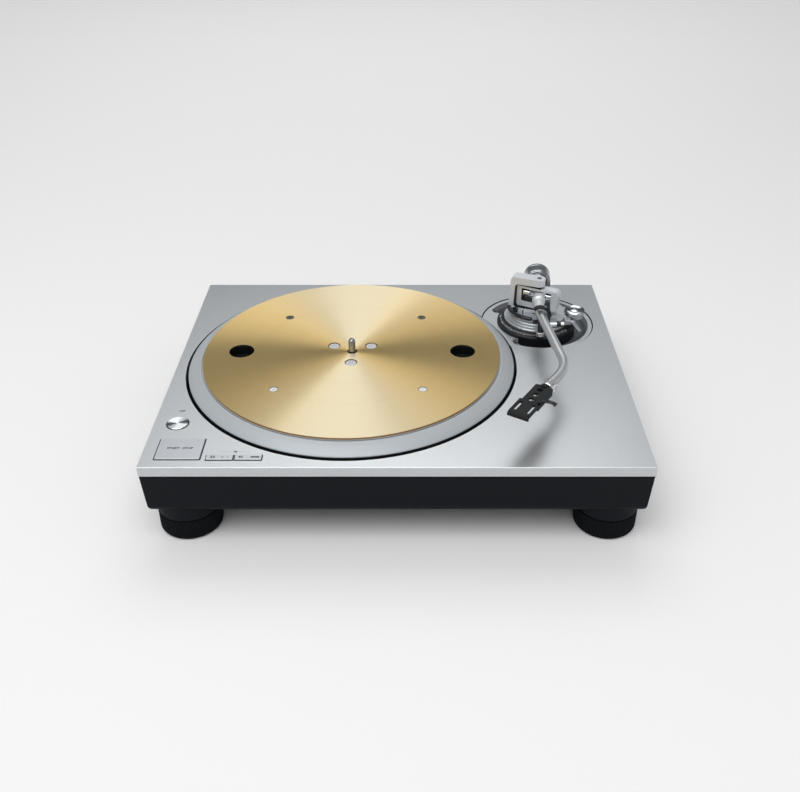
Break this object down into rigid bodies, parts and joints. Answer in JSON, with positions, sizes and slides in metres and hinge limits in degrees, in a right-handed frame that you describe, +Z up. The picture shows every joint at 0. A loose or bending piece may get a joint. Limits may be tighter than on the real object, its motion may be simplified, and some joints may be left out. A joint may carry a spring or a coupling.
{
  "type": "turntable",
  "caption": "Direct-drive turntable with a brass-topped platter, an S-shaped tonearm on a height-adjustable base, and push keys for start and speed.",
  "frame": {"origin": "middle of the whole footprint, on the surface the deck stands on", "axes": "+X to the right seen from the front, +Y to the back, +Z up"},
  "size_m": [0.453, 0.372, 0.1413],
  "materials": {
    "arm_silver": "satin",
    "base_silver": "bead blasted",
    "board_green": "coated board",
    "brass_screw": "satin",
    "bright_chrome": "polished",
    "cabinet_black": "fine matt grain",
    "casting_grey": "as cast",
    "coil_copper": "enamelled wire",
    "contact_gold": "gold plated",
    "cover_black": "matt",
    "damper_rubber": "matt",
    "dial_clear": "clear over metal",
    "foot_black": "ribbed, matt",
    "key_silver": "satin",
    "lead_orange": "lead insulation",
    "lift_black": "semi-gloss",
    "magnet_black": "matt",
    "panel_silver": "satin, fine grain",
    "platter_grey": "turned satin",
    "rest_black": "semi-gloss",
    "ring_black": "satin with printed scale",
    "screw_steel": "bright",
    "shell_black": "fine texture",
    "socket_black": "semi-gloss",
    "spun_aluminium": "spun face",
    "transformer_tape": "wound tape",
    "tube_silver": "satin",
    "turned_brass": "radially brushed",
    "weight_chrome": "smoked polish",
    "yoke_steel": "plain"
  },
  "bodies": {
    "deck": {"top_panel": "panel_silver", "chassis_casting": "casting_grey", "cabinet": "cabinet_black", "bottom_cover": "cover_black", "bottom_screws": "screw_steel", "rear_plate": "cover_black", "phono_jacks": "contact_gold", "ground_post": "bright_chrome", "mains_inlet": "socket_black", "hinge_sockets": "cabinet_black", "button_switches": "socket_black", "control_board": "board_green", "transformer": "transformer_tape", "power_board": "board_green", "bearing_housing": "yoke_steel", "stator_core": "yoke_steel", "stator_board": "board_green", "stator_coils": "coil_copper", "arm_base_plate": "base_silver"},
    "platter": {"brass_plate": "turned_brass", "platter_casting": "platter_grey", "plate_screws": "brass_screw", "hub_screws": "screw_steel", "platter_damper": "damper_rubber", "rotor_yoke": "yoke_steel", "rotor_magnet": "magnet_black", "spindle": "bright_chrome"},
    "height_ring": {"height_ring": "ring_black"},
    "arm_base": {"arm_drum": "base_silver", "yoke": "arm_silver", "vertical_pivots": "screw_steel", "rest_post": "rest_black", "cue_cylinder": "bright_chrome", "stop_screw": "bright_chrome", "antiskate_housing": "base_silver"},
    "gimbal": {"gimbal_ring": "arm_silver", "side_pivots": "bright_chrome"},
    "arm": {"arm_sleeve": "arm_silver", "arm_tube": "tube_silver", "headshell": "shell_black", "finger_lift": "lift_black", "shell_leads": "lead_orange", "rear_shaft": "bright_chrome"},
    "locking_collar": {"locking_collar": "bright_chrome"},
    "balance": {"balance_sleeve": "socket_black"},
    "counterweight": {"counterweight": "weight_chrome"},
    "scale_ring": {"scale_ring": "weight_chrome"},
    "arm_clip": {"arm_clip": "rest_black"},
    "cue_bar": {"cue_bar": "rest_black"},
    "cue_lever": {"cue_lever": "arm_silver"},
    "antiskate_dial": {"antiskate_dial": "dial_clear"},
    "lock_knob": {"lock_knob": "bright_chrome"},
    "start_stop_button": {"start_stop_button": "key_silver"},
    "speed_33_button": {"speed_33_button": "key_silver"},
    "speed_45_button": {"speed_45_button": "key_silver"},
    "power_dial": {"power_dial": "spun_aluminium"},
    "foot_front_left": {"foot_front_left": "foot_black"},
    "foot_front_right": {"foot_front_right": "foot_black"},
    "foot_rear_left": {"foot_rear_left": "foot_black"},
    "foot_rear_right": {"foot_rear_right": "foot_black"}
  },
  "joints": [
    {"name": "platter_spin", "type": "hinge", "parent": "deck", "child": "platter", "pos_m": [-0.048, -0.0085, 0.1], "axis": [0, 0, 1], "continuous": true},
    {"name": "height_ring_turn", "type": "hinge", "parent": "deck", "child": "height_ring", "pos_m": [0.15, 0.0753, 0.09], "axis": [0, 0, 1], "range_deg": [0, 180]},
    {"name": "arm_base_lift", "type": "slide", "parent": "deck", "child": "arm_base", "axis": [0, 0, 1], "range_m": [0, 0.00596]},
    {"name": "arm_swing", "type": "hinge", "parent": "arm_base", "child": "gimbal", "pos_m": [0.15, 0.0753, 0.1215], "axis": [0, 0, -1], "range_deg": [0, 43]},
    {"name": "arm_lift", "type": "hinge", "parent": "gimbal", "child": "arm", "pos_m": [0.15, 0.0753, 0.1215], "axis": [-0.891, 0.454, 0], "range_deg": [-4, 3]},
    {"name": "balance_slide", "type": "slide", "parent": "arm", "child": "balance", "axis": [0.0785, 0.9969, 0], "range_m": [-0.00395, 0.00395]},
    {"name": "counterweight_turn", "type": "hinge", "parent": "balance", "child": "counterweight", "pos_m": [0.15, 0.0753, 0.1215], "axis": [0.0785, 0.9969, 0], "range_deg": [-570, 570]},
    {"name": "scale_ring_turn", "type": "hinge", "parent": "balance", "child": "scale_ring", "pos_m": [0.15, 0.0753, 0.1215], "axis": [0.0785, 0.9969, 0], "range_deg": [-180, 180]},
    {"name": "locking_collar_turn", "type": "hinge", "parent": "arm", "child": "locking_collar", "pos_m": [0.1353, -0.1131, 0.1215], "axis": [-0.5299, -0.848, 0], "range_deg": [0, 40]},
    {"name": "arm_clip_open", "type": "hinge", "parent": "arm_base", "child": "arm_clip", "pos_m": [0.1571, 0.031, 0.1215], "axis": [0, 1, 0], "range_deg": [0, 100]},
    {"name": "cue_bar_lift", "type": "slide", "parent": "arm_base", "child": "cue_bar", "axis": [0, 0, 1], "range_m": [0, 0.0055]},
    {"name": "cue_lever_turn", "type": "hinge", "parent": "arm_base", "child": "cue_lever", "pos_m": [0.1862, 0.0545, 0.0986], "axis": [-1, 0, 0], "range_deg": [0, 50]},
    {"name": "antiskate_dial_turn", "type": "hinge", "parent": "arm_base", "child": "antiskate_dial", "pos_m": [0.19, 0.068, 0.1], "axis": [0, 0, 1], "range_deg": [0, 270]},
    {"name": "lock_knob_turn", "type": "hinge", "parent": "arm_base", "child": "lock_knob", "pos_m": [0.161, 0.0495, 0.0991], "axis": [1, 0, 0], "range_deg": [0, 60]},
    {"name": "power_dial_turn", "type": "hinge", "parent": "deck", "child": "power_dial", "pos_m": [-0.2042, -0.1198, 0.088], "axis": [0, 0, 1], "range_deg": [0, 45]},
    {"name": "start_stop_press", "type": "slide", "parent": "deck", "child": "start_stop_button", "axis": [0, 0, -1], "range_m": [0, 0.0015], "stiffness_N_per_m": 700, "springref_m": -0.0005},
    {"name": "speed_33_press", "type": "slide", "parent": "deck", "child": "speed_33_button", "axis": [0, 0, -1], "range_m": [0, 0.0012], "stiffness_N_per_m": 450, "springref_m": -0.0005},
    {"name": "speed_45_press", "type": "slide", "parent": "deck", "child": "speed_45_button", "axis": [0, 0, -1], "range_m": [0, 0.0012], "stiffness_N_per_m": 450, "springref_m": -0.0005},
    {"name": "foot_front_left_turn", "type": "hinge", "parent": "deck", "child": "foot_front_left", "pos_m": [-0.195, -0.1535, 0.02], "axis": [0, 0, 1], "range_deg": [-360, 360]},
    {"name": "foot_front_right_turn", "type": "hinge", "parent": "deck", "child": "foot_front_right", "pos_m": [0.195, -0.1535, 0.02], "axis": [0, 0, 1], "range_deg": [-360, 360]},
    {"name": "foot_rear_left_turn", "type": "hinge", "parent": "deck", "child": "foot_rear_left", "pos_m": [-0.195, 0.1335, 0.02], "axis": [0, 0, 1], "range_deg": [-360, 360]},
    {"name": "foot_rear_right_turn", "type": "hinge", "parent": "deck", "child": "foot_rear_right", "pos_m": [0.195, 0.1335, 0.02], "axis": [0, 0, 1], "range_deg": [-360, 360]}
  ],
  "couplings": [
    {"joint": "height_ring_turn", "follows": "arm_base_lift", "rad_per_m": 526.3},
    {"joint": "counterweight_turn", "follows": "balance_slide", "rad_per_m": 2513},
    {"joint": "cue_lever_turn", "follows": "cue_bar_lift", "rad_per_m": 158}
  ]
}
